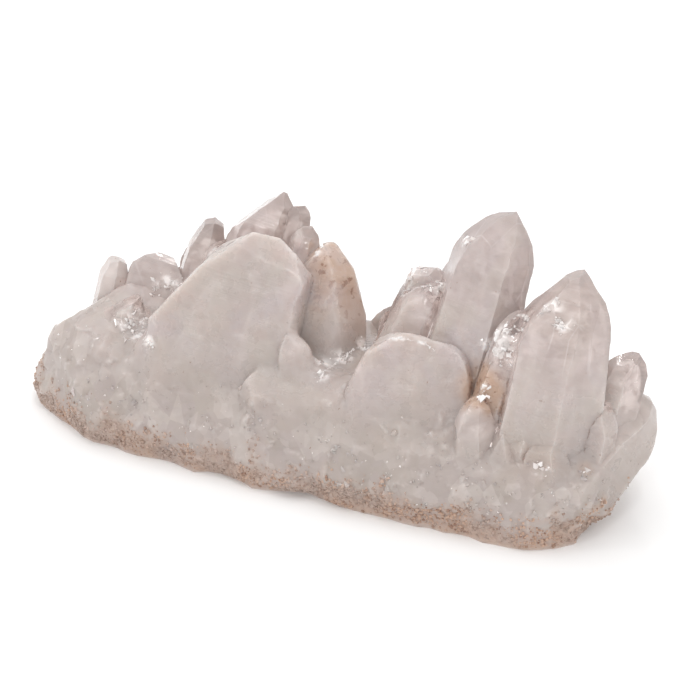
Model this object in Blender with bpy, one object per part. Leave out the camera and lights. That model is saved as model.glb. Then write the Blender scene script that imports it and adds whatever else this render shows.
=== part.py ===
"""Quartz crystal cluster, one solid grown in one piece: milky and clear points on a plate of stained matrix.

The long side of the plate lies along X and its broad show side faces -Y. It rests on its flat broken
underside at Z = 0. Run it with blender --background --python part.py, or from Blender's text editor.
"""

import math
import random
from typing import NamedTuple

import bmesh
import bpy
from mathutils import Matrix, Vector, noise

MM = 0.001

# Moves the finished cluster so that the middle of its box stands over the origin, in millimetres.
CENTRING = (-1.8, -0.15, 0.0)

# The habit of quartz: six prism faces, and over each of them a rhombohedral face that leans in at this angle.
TIP_FACE_TILT = math.radians(51.8)
STEEP_FACE_TILT = math.radians(71.0)
BLUNT_FACE_TILT = math.radians(27.0)
SIDE_FACE_ANGLES = [math.radians(angle) for angle in (-90, -30, 30, 90, 150, 210)]

# The roots run below each crystal's own foot, down to this height inside the matrix,
# and never by less than the depth.
ROOT_LEVEL = 8.0
ROOT_DEPTH = 6.0
# Corners closer than this are one corner.
SHORTEST_EDGE = 0.15

# The matrix that the crystals stand on, station by station along X, in millimetres.
# Each station is x, the front foot's y, the back foot's y, the crest's y and the crest's height.
MATRIX_STATIONS = [
    (-81.5, -13.5, -7.0, -10.0, 9.0),
    (-79.0, -16.5, -1.0, -9.0, 14.2),
    (-75.0, -19.0, 5.0, -7.0, 19.2),
    (-70.0, -21.5, 11.0, -4.0, 25.0),
    (-64.0, -24.5, 16.0, -1.0, 29.0),
    (-56.0, -28.0, 21.0, 1.0, 31.0),
    (-46.0, -29.5, 25.0, 3.0, 29.0),
    (-32.0, -29.0, 28.0, 4.0, 25.0),
    (-12.0, -28.5, 29.0, 3.0, 27.0),
    (6.0, -27.5, 29.0, 0.0, 29.0),
    (20.0, -27.0, 30.0, 1.0, 29.0),
    (36.0, -26.5, 30.0, 1.0, 28.0),
    (50.0, -25.5, 30.0, 2.0, 27.0),
    (62.0, -24.5, 29.0, 2.0, 30.0),
    (68.0, -22.0, 26.0, 3.0, 29.0),
    (73.5, -16.5, 20.0, 4.0, 24.0),
]
MATRIX_STEPS_ALONG = 46
MATRIX_STEPS_ROUND = 16
MATRIX_BELOW = 4.0
# Under 1 the section is fuller than a half ellipse, with a steep front.
MATRIX_SQUARENESS = 0.62
MATRIX_ROUNDNESS = 0.78
# The foot is tucked in under the widest part of the crust, by this share of its distance from the middle.
MATRIX_UNDERCUT = 0.07
MATRIX_UNDERCUT_HEIGHT = 4.0
# The size and height of its lumps, which fade out over the last few millimetres at each end.
MATRIX_LUMPS = ((13.0, 3.0), (5.5, 1.3))
MATRIX_CALM_ENDS = 7.0

DRUSE_SEED = 11
DRUSE_COUNT = 105
# Left of this the front wall is bare.
DRUSE_LEFT_END = -42.0


class Crystal(NamedTuple):
    """One crystal, in millimetres and degrees.

    Its broad faces look along its own -Y and +Y, which roll turns about its axis. setbacks is how far each
    tip face lies below the tip, in the order front, front right, back right, back, back left, front left.
    Short ones give the small faces near the point, and long ones the broad sloping faces. steep and blunt are
    how much the steeper and the flatter faces take off. Each of the cuts is a face of its own, given in the
    cluster's frame: a point on it, the direction that it looks in plan and how far it leans from level.
    """

    name: str
    root: tuple
    tip: tuple
    width: float
    depth: float
    taper: float = 4.0
    roll: float = 0.0
    setbacks: tuple = (0, 0, 0, 0, 0, 0)
    steep: float = 0.0
    blunt: float = 0.0
    cuts: tuple = ()


CRYSTALS = [
    # The left end, where the points are small and lean to the right.
    Crystal("left_finger", (-68, -3, 10), (-63.8, 4, 37.6), 9.2, 9, 1, 10, (0, 0, 1, 1, 0, 1), 0.8, 1.8),
    Crystal(
        "left_chisel", (-58, -3, 8), (-52, 8, 42), 16.5, 13, 1, 5, (3, 0, 0, 0, 0, 1), 0.3, 0.0,
        (((-55, 8, 38.6), -15, 12), ((-52, 4, 34), -75, 60)),
    ),
    Crystal("left_shard", (-46, 6, 15), (-39.5, 14, 48.5), 14, 12, 3, 0, (0, 1, 2, 1, 1, 2), 1.2, 1.7),
    # The tall step at the back left, with small points in parallel on its right.
    Crystal(
        "back_step", (-29, 8, 18), (-20, 16, 60.5), 20, 16, 3, 10, (3, 0, 0, 4, 4, 4), 0.6, 0.2,
        (((-30.6, 14, 51.8), 182, 40), ((-34, 13, 48.3), 184, 54)),
    ),
    Crystal("back_step_point", (-18, 9, 34), (-14.5, 13, 59), 9, 8, 3, 0, (0, 1, 0, 1, 2, 0), 0.3, 0.5),
    Crystal("back_step_chip", (-12, 7, 30), (-9.5, 11, 55), 10, 9, 3, 15, (1, 0, 0, 1, 1, 0), 0.3, 0.5),
    # The broad milky crystal at the front left.
    Crystal(
        "milky_left", (-24, -8, 10), (-14, -7, 66), 52, 38, 2, 30, (4, 0, 0, 0, 0, 0), 0.8, 0.0,
        (
            ((-25, -26, 14), -76, 69), ((-18, -9, 54), -68, 52), ((-14, -7, 60), 178, 18),
            ((-21, -8, 56.5), 182, 36), ((-35, -10, 43.8), 184, 50), ((-47, -12, 27), 184, 60),
            ((-12, -5, 60), 95, 44), ((-5.5, -6, 58.5), 5, 40), ((-2.6, -8, 50), 8, 97),
            ((-43, -23.5, 18), -125, 74), ((-25, -28.6, 6), -92, 93),
        ),
    ),
    # The low milky one that joins it to the dome.
    Crystal(
        "milky_middle", (3, -12, 8), (3, -11, 46), 40, 29, 2, 30, (0, 0, 0, 0, 0, 0), 0.5, 0.0,
        (
            ((5, -25.5, 12), -74, 67), ((1, -15, 28.5), -78, 30), ((1, -12, 29.5), 90, 16),
            ((3, -28.2, 6), -90, 96),
        ),
    ),
    # The stained crystal in the middle, and the small one at its foot.
    Crystal("stained_middle", (-3, 1, 11), (-3.8, 10, 52.8), 25, 18, 3, 0, (1, 2, 1, 0, 0, 0), 1.7, 1.2),
    Crystal("middle_foot", (0, -13, 20), (-1.5, -9, 37), 11, 9, 4, 0, (0, 2, 0, 0, 3, 0), 0.6, 0.4),
    # The milky dome at the front, right of the middle.
    Crystal(
        "milky_dome", (31, -12, 10), (28, -12, 52), 34, 31, 2, 30, (4, 0, 0, 0, 0, 0), 0.8, 0.0,
        (
            ((28, -25.5, 12), -72, 68), ((27, -17, 40), -68, 44), ((18.5, -14, 40), 180, 34),
            ((26.5, -12, 45), 10, 10), ((37.5, -12, 42.4), 0, 34), ((43.5, -13, 37.4), -2, 52),
            ((27, -11.5, 45.2), 92, 42), ((28, -27.6, 6), -88, 96),
        ),
    ),
    # The tall point on the right, and the clear ones on its left.
    Crystal(
        "tall_point", (37, -1, 23), (46, 8, 72.7), 25, 19, 3, 0, (3, 0, 0, 2, 1, 3), 0.8, 0.0,
        (((41, 8, 70.5), 180, 20), ((33, 6, 64.7), 180, 50)),
    ),
    Crystal("tall_neighbour", (23, -4, 28), (31, 0, 53), 14, 11, 4, 0, (2, 0, 0, 0, 3, 4), 0.4, 0.2),
    Crystal("clear_left", (18.3, 3, 28), (25.8, 8, 53), 14, 10, 3, 0, (0, 2, 2, 0, 2, 2), 0.3, 4.4),
    Crystal("notch_chip", (14, 4, 24), (14.5, 5, 39.5), 6, 5, 3, 0, (0, 0, 0, 0, 0, 0), 0.2, 0.2),
    # The right-hand point, with a clear broken one in front of it.
    Crystal(
        "right_point", (65, -8, 20), (65.5, 3, 64), 27, 21, 3, 0, (4, 2, 0, 0, 3, 6), 0.8, 0.3,
        (((72, -13, 15), -42, 88), ((62, -19, 18), -84, 83)),
    ),
    Crystal("clear_right", (51, -11, 26), (56, -6, 54), 12, 11, 3, 0, (2, 0, 0, 0, 0, 3), 0.3, 0.3),
    # The right end, with its broad flat wall.
    Crystal(
        "end_point", (75, -3, 14), (78.5, 5, 46), 12, 13, 1, 0, (1, 0, 0, 0, 2, 2), 0.4, 0.0,
        (((78, 5, 42.6), 190, 4),),
    ),
    Crystal(
        "end_wall", (69.5, -10, 10), (81, 12, 28.5), 23, 13, 2, 55, (2, 0, 0, 0, 0, 2), 0.8, 0.8,
        (((75.5, -13, 8.5), -63, 139),),
    ),
    # Small crystals low on the front.
    Crystal("front_point", (50, -17, 12), (48.5, -16, 35), 12, 10, 3, 0, (1, 0, 0, 0, 0, 2), 0.5, 0.5),
    Crystal("front_right", (66, -14, 12), (65, -13, 30), 15, 12, 4, 0, (2, 0, 0, 0, 0, 2), 0.8, 1.0),
    Crystal("front_corner", (69, -12, 6), (71.5, -14.5, 19), 14, 13, 3, 10, (0, 1, 0, 0, 2, 0), 1.5, 2.5),
    Crystal("left_shoulder", (-60, -12, 8), (-79, -11, 9), 15, 12, 6, 0, (2, 2, 2, 2, 2, 2), 1.0, 2.0),
    # Splinters that stand against the big ones.
    Crystal("chisel_splinter", (-56, -9, 16), (-50.5, -7, 34), 11, 9, 3, 10, (0, 1, 0, 0, 2, 3), 0.5, 0.3),
    Crystal("step_splinter", (-39, 8, 28), (-35.5, 11, 45), 8, 7, 3, 0, (0, 1, 0, 0, 1, 2), 0.4, 0.3),
    Crystal("right_splinter", (56, -6, 34), (57.5, -3, 54), 10, 9, 3, 15, (0, 1, 0, 0, 2, 2), 0.5, 0.3),
    Crystal("end_splinter", (74, -8, 16), (75.5, -5, 34), 9, 8, 3, 0, (0, 2, 0, 0, 0, 1), 0.4, 0.3),
    # The back row, which leans away and stays lower.
    Crystal("back_first", (-60, 9, 10), (-63, 18, 27), 13, 12, 3, 25, (0, 1, 0, 3, 0, 2), 0.4, 0.1),
    Crystal("back_second", (-42, 12, 12), (-44, 22, 41), 20, 15, 4, -10, (2, 0, 0, 6, 7, 0), 0.6, 0.0),
    Crystal("back_second_point", (-52, 11, 12), (-53, 19, 30), 9, 8, 3, 5, (2, 0, 0, 1, 2, 0), 0.3, 0.1),
    Crystal("back_third", (-24, 14, 14), (-24, 24, 48), 19, 17, 5, 20, (0, 6, 0, 7, 0, 0), 0.8, 0.0),
    Crystal("back_fourth", (-12, 16, 12), (-11, 28, 31), 14, 12, 4, 5, (0, 0, 4, 3, 0, 0), 0.5, 0.2),
    Crystal("back_low", (3, 17, 10), (6, 27, 21), 12, 11, 4, 30, (0, 0, 2, 1, 0, 0), 0.5, 0.2),
    Crystal("back_fifth", (17, 14, 12), (18, 25, 40), 18, 14, 4, -15, (0, 0, 6, 4, 0, 0), 0.8, 0.0),
    Crystal("back_sixth", (31, 14, 14), (33, 22.5, 53), 21, 17, 5, 10, (2, 0, 0, 8, 5, 0), 0.8, 0.0),
    Crystal("back_seventh", (44, 14, 12), (43, 25, 33), 12, 12, 4, 0, (0, 0, 0, 3, 1, 0), 0.4, 0.2),
    Crystal("back_eighth", (54, 12, 14), (56, 22, 47), 18, 14, 4, -8, (2, 0, 5, 5, 1, 0), 0.8, 0.0),
    Crystal("back_ninth", (67, 9, 10), (71, 19, 27), 14, 12, 4, 12, (0, 2, 0, 3, 0, 0), 0.5, 0.2),
]


def plane_cut(mesh, point, normal):
    """Takes off what lies outside the plane, and closes the cut with one flat face."""
    parts = mesh.verts[:] + mesh.edges[:] + mesh.faces[:]
    made = bmesh.ops.bisect_plane(
        mesh, geom=parts, plane_co=point, plane_no=normal, dist=1e-7, clear_outer=True
    )
    rim = [item for item in made["geom_cut"] if isinstance(item, bmesh.types.BMEdge)]
    if rim:
        bmesh.ops.contextual_create(mesh, geom=rim)


def leaning_normal(angle, tilt):
    """A unit normal that looks out at this angle about the axis and up from the side by this much."""
    return Vector((math.cos(angle) * math.sin(tilt), math.sin(angle) * math.sin(tilt), math.cos(tilt)))


def side_distance(crystal, angle):
    """How far the prism face at this angle stands from the axis: half the depth for the two broad faces."""
    broad = abs(math.cos(angle)) < 0.5
    return crystal.depth / 2 if broad else crystal.width / 2 * math.cos(math.radians(30))


def crystal_mesh(crystal):
    """A block cut down by the crystal's own planes: six sides, six tip faces and six steep faces."""
    axis = Vector(crystal.tip) - Vector(crystal.root)
    length = axis.length
    depth = max(ROOT_DEPTH, (crystal.root[2] - ROOT_LEVEL) * length / max(axis.z, 1.0))
    mesh = bmesh.new()
    bmesh.ops.create_cube(mesh, size=1.0)
    reach = 2 * (crystal.width + crystal.depth)
    block = Matrix.Diagonal((reach, reach, length + depth + reach, 1.0))
    centre = Matrix.Translation((0, 0, (length + reach - depth) / 2))
    bmesh.ops.transform(mesh, matrix=centre @ block, verts=mesh.verts)
    taper = math.radians(crystal.taper)
    for angle, setback in zip(SIDE_FACE_ANGLES, crystal.setbacks):
        distance = side_distance(crystal, angle)
        outward = Vector((math.cos(angle), math.sin(angle), 0))
        side = leaning_normal(angle, math.pi / 2 - taper)
        plane_cut(mesh, outward * distance, side)
        tip_face = leaning_normal(angle, TIP_FACE_TILT)
        tip_point = Vector((0, 0, length - setback))
        plane_cut(mesh, tip_point, tip_face)
        # Where this side meets its tip face, seen in the plane through the axis.
        # The steep face trims that edge.
        slope_tip = math.tan(TIP_FACE_TILT)
        slope_side = math.tan(taper)
        radius = (distance - slope_side * (length - setback)) / (1 - slope_side * slope_tip)
        edge = outward * radius + Vector((0, 0, length - setback - slope_tip * radius))
        steep = leaning_normal(angle, STEEP_FACE_TILT)
        plane_cut(mesh, edge - steep * crystal.steep, steep)
        if crystal.blunt:
            low = leaning_normal(angle, BLUNT_FACE_TILT)
            plane_cut(mesh, tip_point - low * crystal.blunt, low)
    bmesh.ops.remove_doubles(mesh, verts=mesh.verts, dist=SHORTEST_EDGE)
    highest = max(mesh.verts, key=lambda vert: vert.co.z).co.copy()
    bmesh.ops.translate(mesh, vec=Vector((0, 0, length)) - highest, verts=mesh.verts)
    return mesh


def standing_matrix(crystal):
    """Where the crystal stands: foot on its root, axis towards its tip and broad face towards -Y."""
    axis = (Vector(crystal.tip) - Vector(crystal.root)).normalized()
    turn = Vector((0, 0, 1)).rotation_difference(axis).to_matrix().to_4x4()
    front = turn.inverted() @ Vector((0, -1, 0))
    square = Matrix.Rotation(math.atan2(front.x, -front.y), 4, "Z")
    roll = Matrix.Rotation(math.radians(crystal.roll), 4, "Z")
    return Matrix.Translation(crystal.root) @ turn @ square @ roll


def linked_object(name, mesh, collection):
    """Turns the mesh from millimetres into an object in metres, centred on the origin."""
    place = Matrix.Scale(MM, 4) @ Matrix.Translation(CENTRING)
    bmesh.ops.transform(mesh, matrix=place, verts=mesh.verts)
    data = bpy.data.meshes.new(name)
    bmesh.ops.recalc_face_normals(mesh, faces=mesh.faces)
    mesh.to_mesh(data)
    mesh.free()
    made = bpy.data.objects.new(name, data)
    collection.objects.link(made)
    return made


def add_crystal(crystal, collection):
    mesh = crystal_mesh(crystal)
    bmesh.ops.transform(mesh, matrix=standing_matrix(crystal), verts=mesh.verts)
    for point, direction, lean in crystal.cuts:
        plane_cut(mesh, point, leaning_normal(math.radians(direction), math.radians(lean)))
    return linked_object(crystal.name, mesh, collection)


def matrix_station(x):
    """The front foot, back foot, crest y and crest height of the matrix at this x."""
    for low, high in zip(MATRIX_STATIONS, MATRIX_STATIONS[1:]):
        if x <= high[0]:
            break
    share = min(max((x - low[0]) / (high[0] - low[0]), 0.0), 1.0)
    return [a + (b - a) * share for a, b in zip(low[1:], high[1:])]


def matrix_point(x, turn):
    """A point on the matrix before its lumps: turn runs from 0 at the front foot to 1 at the back foot."""
    front, back, crest_y, crest = matrix_station(x)
    angle = math.pi * turn
    reach = front - crest_y if turn < 0.5 else back - crest_y
    y = crest_y + reach * abs(math.cos(angle)) ** MATRIX_SQUARENESS
    z = crest * math.sin(angle) ** MATRIX_ROUNDNESS
    return Vector((x, y, z))


def matrix_normal(x, turn):
    step = 0.02
    turn = min(max(turn, step), 1 - step)
    across = matrix_point(x, turn + step) - matrix_point(x, turn - step)
    along = matrix_point(x + 1, turn) - matrix_point(x - 1, turn)
    return along.cross(across).normalized()


def lumpy_skin(x, turn):
    """The point on the matrix with its lumps, and with its foot tucked in."""
    skin = matrix_point(x, turn)
    crest_y = matrix_station(x)[2]
    rise = min(skin.z / MATRIX_UNDERCUT_HEIGHT, 1.0)
    outward = matrix_normal(x, turn)
    # At the foot the lumps only push sideways, so that the ground cuts them cleanly.
    outward.z *= rise
    first, last = MATRIX_STATIONS[0][0], MATRIX_STATIONS[-1][0]
    calm = min(min(x - first, last - x) / MATRIX_CALM_ENDS, 1.0)
    push = calm * sum(amount * noise.noise(skin / size) for size, amount in MATRIX_LUMPS)
    skin.y += (crest_y - skin.y) * MATRIX_UNDERCUT * (1 - rise)
    return skin + outward * push


def add_matrix(collection):
    """A sheet bent over into a long hump, with its foot tucked in and its skin pushed into lumps."""
    mesh = bmesh.new()
    bmesh.ops.create_grid(mesh, x_segments=MATRIX_STEPS_ALONG, y_segments=MATRIX_STEPS_ROUND, size=1.0)
    first, last = MATRIX_STATIONS[0][0], MATRIX_STATIONS[-1][0]
    strip = 1.0 / MATRIX_STEPS_ROUND
    first_section = sorted((vert for vert in mesh.verts if vert.co.x < -0.999), key=lambda vert: vert.co.y)
    last_section = sorted((vert for vert in mesh.verts if vert.co.x > 0.999), key=lambda vert: vert.co.y)
    for vert in mesh.verts:
        x = first + (last - first) * (vert.co.x + 1) / 2
        turn = (vert.co.y + 1) / 2
        # One strip at each side of the sheet goes straight down below the ground, and is cut off later.
        vert.co = lumpy_skin(x, min(max((turn - strip) / (1 - 2 * strip), 0.0), 1.0))
        if turn < strip / 2 or turn > 1 - strip / 2:
            vert.co.z -= MATRIX_BELOW
    mesh.faces.new(first_section)
    mesh.faces.new(last_section)
    rim = [edge for edge in mesh.edges if edge.is_boundary]
    bmesh.ops.holes_fill(mesh, edges=rim, sides=0)
    bmesh.ops.triangulate(mesh, faces=[face for face in mesh.faces if len(face.verts) > 4])
    return linked_object("quartz_cluster", mesh, collection)


def druse_crystal(chance, number):
    """A small crystal somewhere on the matrix, standing half sunk in its skin and leaning with the others."""
    x = chance.uniform(-62, 66)
    turn = chance.choice((chance.uniform(0.1, 0.45), chance.uniform(0.14, 0.4), chance.uniform(0.5, 0.88)))
    width = chance.uniform(5, 11)
    if x < DRUSE_LEFT_END and turn < 0.5:
        turn = 1 - turn
    normal = matrix_normal(x, turn)
    # Those at the front are sunk deeper, so that its wall stays nearly even.
    sunk = chance.uniform(0.1, 0.4) + (0.25 if turn < 0.5 else 0.0)
    foot = matrix_point(x, turn) - normal * width * sunk
    grow = (normal * 0.7 + Vector((0.25, 0, 1.0))).normalized()
    grow = (grow + Vector([chance.uniform(-0.25, 0.25) for _ in range(3)])).normalized()
    length = width * chance.uniform(0.4, 0.9)
    setbacks = tuple(chance.uniform(0, width / 4) for _ in range(6))
    return Crystal(
        f"druse_{number}", tuple(foot - grow * 3), tuple(foot + grow * length), width,
        width * chance.uniform(0.7, 1.0), 4, chance.uniform(0, 60), setbacks, 0.2
    )


def add_ground_cutter(collection):
    """A block below the ground, which leaves the underside flat."""
    mesh = bmesh.new()
    bmesh.ops.create_cube(mesh, size=1.0)
    block = Matrix.Translation((0, 0, -20)) @ Matrix.Diagonal((300, 200, 40, 1))
    bmesh.ops.transform(mesh, matrix=block, verts=mesh.verts)
    cutter = linked_object("ground_cutter", mesh, collection)
    cutter.hide_render = True
    cutter.display_type = "WIRE"
    return cutter


def add_boolean(target, name, operation, other=None, collection=None):
    modifier = target.modifiers.new(name, "BOOLEAN")
    modifier.solver = "EXACT"
    modifier.operation = operation
    if collection:
        modifier.operand_type = "COLLECTION"
        modifier.collection = collection
    else:
        modifier.object = other
    return modifier


def add_quartz_material(target):
    material = bpy.data.materials.new("milky_quartz")
    material.use_nodes = True
    surface = material.node_tree.nodes["Principled BSDF"]
    surface.inputs["Base Color"].default_value = (0.60, 0.52, 0.49, 1.0)
    surface.inputs["Roughness"].default_value = 0.35
    surface.inputs["Metallic"].default_value = 0.0
    target.data.materials.append(material)


def clear_scene():
    for old in list(bpy.data.objects):
        bpy.data.objects.remove(old, do_unlink=True)


def main():
    clear_scene()
    parts = bpy.data.collections.new("quartz_crystal_cluster")
    growth = bpy.data.collections.new("crystals")
    cutters = bpy.data.collections.new("cutters")
    for collection in (parts, growth, cutters):
        bpy.context.scene.collection.children.link(collection)
    cluster = add_matrix(parts)
    add_quartz_material(cluster)
    chance = random.Random(DRUSE_SEED)
    small = [druse_crystal(chance, number) for number in range(DRUSE_COUNT)]
    for crystal in CRYSTALS + small:
        grown = add_crystal(crystal, growth)
        grown.hide_render = True
        grown.display_type = "WIRE"
    add_boolean(cluster, "grow crystals", "UNION", collection=growth)
    add_boolean(cluster, "flat underside", "DIFFERENCE", other=add_ground_cutter(cutters))


main()
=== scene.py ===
"""Quartz crystal cluster: milky and clear points grown together on a plate of stained matrix, with its stage.

The cluster's solid is loaded as the frame. Its skin is remade finely here and worked into growth steps, chips and
lumps, and sugar crystals, white splinters, crust grains and rust specks are set on it. The splinters are partly
broken quartz and partly painted glints, and the skin's colour carries painted light and shade on ridges, in creases
and on small faces. Lengths in the tables are in millimetres in the cluster's own frame: X along the plate, Y towards
its back and Z up.
"""

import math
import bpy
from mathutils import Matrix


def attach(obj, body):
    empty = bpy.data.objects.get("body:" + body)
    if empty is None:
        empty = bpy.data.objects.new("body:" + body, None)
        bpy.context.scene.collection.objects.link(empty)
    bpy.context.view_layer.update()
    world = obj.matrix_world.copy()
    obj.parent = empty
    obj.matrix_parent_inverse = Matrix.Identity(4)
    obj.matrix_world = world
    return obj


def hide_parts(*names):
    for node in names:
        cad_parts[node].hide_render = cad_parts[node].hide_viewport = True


bl_info = {
    "name": "Quartz Crystal Cluster",
    "version": (1, 0, 0),
    "blender": (4, 5, 0),
    "location": "3D View > Sidebar > Quartz",
    "description": "Dresses a quartz cluster with worked faces, sugar crystals, a stained crust and their materials",
    "category": "Add Mesh",
}

import bmesh
import bpy
import numpy as np
from mathutils import Matrix, Vector, noise
from mathutils.bvhtree import BVHTree

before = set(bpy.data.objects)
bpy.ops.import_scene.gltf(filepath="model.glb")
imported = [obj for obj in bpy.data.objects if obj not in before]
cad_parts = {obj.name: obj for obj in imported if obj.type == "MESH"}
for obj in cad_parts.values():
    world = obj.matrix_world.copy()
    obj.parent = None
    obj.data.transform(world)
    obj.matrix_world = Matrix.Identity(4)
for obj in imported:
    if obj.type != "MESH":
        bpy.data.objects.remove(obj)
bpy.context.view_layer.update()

MM = 0.001
NODE = "quartz_cluster"
BODY = "root"

# Each crystal: root, tip, width, how clear it is from 0 to 1, and how brown from 0 to 1.
CRYSTALS = {
    "left_finger": ((-69.8, -3.2, 10), (-65.6, 3.8, 37.6), 9, 0.25, 0.0),
    "left_chisel": ((-59.8, -3.2, 8), (-53.8, 7.8, 42), 16, 0.33, 0.0),
    "left_shard": ((-47.8, 5.8, 15), (-41.3, 13.8, 48.5), 14, 0.45, 0.1),
    "back_step": ((-30.8, 7.8, 18), (-21.8, 15.8, 60.5), 20, 0.45, 0.05),
    "back_step_point": ((-19.8, 8.8, 34), (-16.3, 12.8, 59), 9, 0.5, 0.05),
    "back_step_chip": ((-13.8, 6.8, 30), (-11.3, 10.8, 55), 10, 0.5, 0.1),
    "milky_left": ((-25.8, -8.2, 10), (-15.8, -7.2, 66), 52, 0.0, 0.0),
    "stained_middle": ((-4.8, 0.8, 11), (-5.6, 9.8, 52.8), 25, 0.35, 1.0),
    "middle_foot": ((-1.8, -13.2, 20), (-3.3, -9.2, 37), 11, 0.45, 0.1),
    "milky_dome": ((29.2, -12.2, 10), (26.2, -12.2, 52), 34, 0.1, 0.1),
    "tall_point": ((35.2, -1.2, 23), (44.2, 7.8, 72.7), 25, 0.35, 0.0),
    "tall_neighbour": ((21.2, -4.2, 28), (29.2, -0.2, 53), 14, 0.55, 0.0),
    "clear_left": ((16.5, 2.8, 28), (24.0, 7.8, 50), 14, 0.75, 0.05),
    "notch_chip": ((12.2, 3.8, 24), (12.7, 4.8, 39.5), 6, 0.9, 0.4),
    "right_point": ((63.2, -8.2, 20), (63.7, 2.8, 64), 27, 0.4, 0.1),
    "clear_right": ((49.2, -11.2, 26), (54.2, -6.2, 54), 12, 0.65, 0.0),
    "end_point": ((73.2, -3.2, 14), (76.7, 4.8, 46), 12, 0.5, 0.0),
    "end_wall": ((67.7, -10.2, 10), (79.2, 11.8, 28.5), 23, 0.3, 0.0),
    "front_point": ((48.2, -17.2, 12), (46.7, -16.2, 35), 12, 0.4, 0.0),
    "front_right": ((64.2, -14.2, 12), (63.2, -13.2, 30), 15, 0.3, 0.2),
    "front_corner": ((67.2, -12.2, 6), (69.7, -14.7, 19), 14, 0.2, 0.3),
    "milky_middle": ((1.2, -12.2, 8), (1.2, -11.2, 46), 40, 0.0, 0.0),
    "left_shoulder": ((-61.8, -12.2, 8), (-80.8, -11.2, 9), 15, 0.1, 0.1),
    "chisel_splinter": ((-57.8, -9.2, 16), (-52.3, -7.2, 34), 11, 0.6, 0.1),
    "step_splinter": ((-40.8, 7.8, 28), (-37.3, 10.8, 45), 8, 0.7, 0.4),
    "right_splinter": ((54.2, -6.2, 34), (55.7, -3.2, 54), 10, 0.7, 0.0),
    "end_splinter": ((72.2, -8.2, 16), (73.7, -5.2, 34), 9, 0.5, 0.0),
    "back_first": ((-61.8, 8.8, 10), (-64.8, 17.8, 27), 13, 0.4, 0.1),
    "back_second": ((-43.8, 11.8, 12), (-45.8, 21.8, 41), 20, 0.5, 0.2),
    "back_second_point": ((-53.8, 10.8, 12), (-54.8, 18.8, 30), 9, 0.6, 0.1),
    "back_third": ((-25.8, 13.8, 14), (-25.8, 23.8, 48), 19, 0.45, 0.1),
    "back_fourth": ((-13.8, 15.8, 12), (-12.8, 27.8, 31), 14, 0.5, 0.3),
    "back_low": ((1.2, 16.8, 10), (4.2, 26.8, 21), 12, 0.4, 0.2),
    "back_fifth": ((15.2, 13.8, 12), (16.2, 24.8, 40), 18, 0.6, 0.0),
    "back_sixth": ((29.2, 13.8, 14), (31.2, 22.3, 53), 21, 0.4, 0.0),
    "back_seventh": ((42.2, 13.8, 12), (41.2, 24.8, 33), 12, 0.6, 0.1),
    "back_eighth": ((52.2, 11.8, 14), (54.2, 21.8, 47), 18, 0.45, 0.0),
    "back_ninth": ((65.2, 8.8, 10), (69.2, 18.8, 27), 14, 0.4, 0.1),
}

# How far the edges of the worn and milky ones are rounded off, from 0 to 1. The rest keep theirs.
WORN = {
    "milky_left": 0.03, "milky_dome": 0.04, "milky_middle": 0.4, "stained_middle": 0.04, "left_shoulder": 0.4,
    "front_corner": 0.5, "front_right": 0.4,
}
ROUNDING_STEPS = 80

# Thin bright rims, a painted highlight along edges with white splinters on it: the points that each runs through.
RIMS = [
    ((3.6, -13.8, 28.7), (3.8, -7.0, 28.0), (4.5, -2.8, 28.9), (6.9, 2.0, 29.9), (9.2, 2.9, 30.6)),
    ((21.5, -13.4, 43.0), (24.0, -12.8, 43.8), (29.9, -11.3, 43.1), (33.0, -11.1, 41.2)),
    ((46.3, -14.9, 35.5), (48.0, -14.3, 37.4)),
    ((16.8, 2.8, 47.5), (23.5, -0.3, 51.4), (30.3, -1.1, 53.7)),
]
RIM_WIDTH = 0.25
RIM_CHIPS = 3.0
# How many white specks, painted glints, are set over the lower part.
GLINTS = 260

# Where broken faces are white, partly their own white and partly painted glints: a middle, a radius and a number that
# sets how many sparks there are.
SPARKLES = [
    ((-53.0, 2.6, 31.5), 2.5, 26),
    ((-50.3, 4.4, 33.4), 3.0, 26),
    ((-53.5, -12.4, 29.0), 3.0, 26),
    ((-50.4, -14.0, 27.5), 3.5, 44),
    ((-51.4, -9.3, 29.1), 3.0, 26),
    ((-41.5, -21.5, 30.5), 2.5, 20),
    ((-7.6, 6.0, 51.5), 2.5, 10),
    ((3.6, -13.8, 28.7), 2.5, 16),
    ((4.5, -4.0, 28.6), 3.0, 20),
    ((6.9, 1.6, 29.9), 2.5, 16),
    ((9.6, 2.6, 30.6), 2.0, 10),
    ((1.5, -9.0, 29.5), 3.0, 8),
    ((34.5, 1.5, 65.0), 2.0, 12),
    ((18.2, 6.0, 50.5), 4.5, 30),
    ((28.5, -0.6, 52.6), 2.5, 14),
    ((44.5, -6.0, 43.1), 3.0, 20),
    ((48.5, -10.6, 49.0), 4.0, 34),
    ((50.2, -12.4, 45.5), 4.0, 30),
    ((52.5, -8.5, 52.6), 3.5, 26),
    ((59.8, -9.0, 58.4), 3.5, 24),
    ((64.0, -11.3, 56.1), 3.0, 20),
    ((46.8, -14.9, 35.8), 2.5, 10),
    ((63.7, -20.2, 22.8), 2.5, 12),
    ((72.7, -14.2, 21.0), 1.5, 5),
]

# Where the surface is made paler: a middle, a radius and how strongly.
PALES = [
    ((-56.0, 4.0, 40.0), 9.0, 0.2),
    ((-45.0, 9.0, 43.0), 10.0, 0.9),
    ((-67.0, 2.0, 33.0), 10.0, 1.0),
    ((46.7, -17.0, 28.0), 7.0, 0.5),
    ((79.0, 2.0, 26.0), 16.0, 0.12),
    ((-2.0, -9.5, 34.0), 6.0, 0.6),
    # Painted light over the lower part of the stained crystal, where it stands in shade.
    ((-4.0, 4.0, 34.0), 11.0, 1.0),
    ((52.0, -9.0, 46.0), 9.0, 0.4),
]
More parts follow.
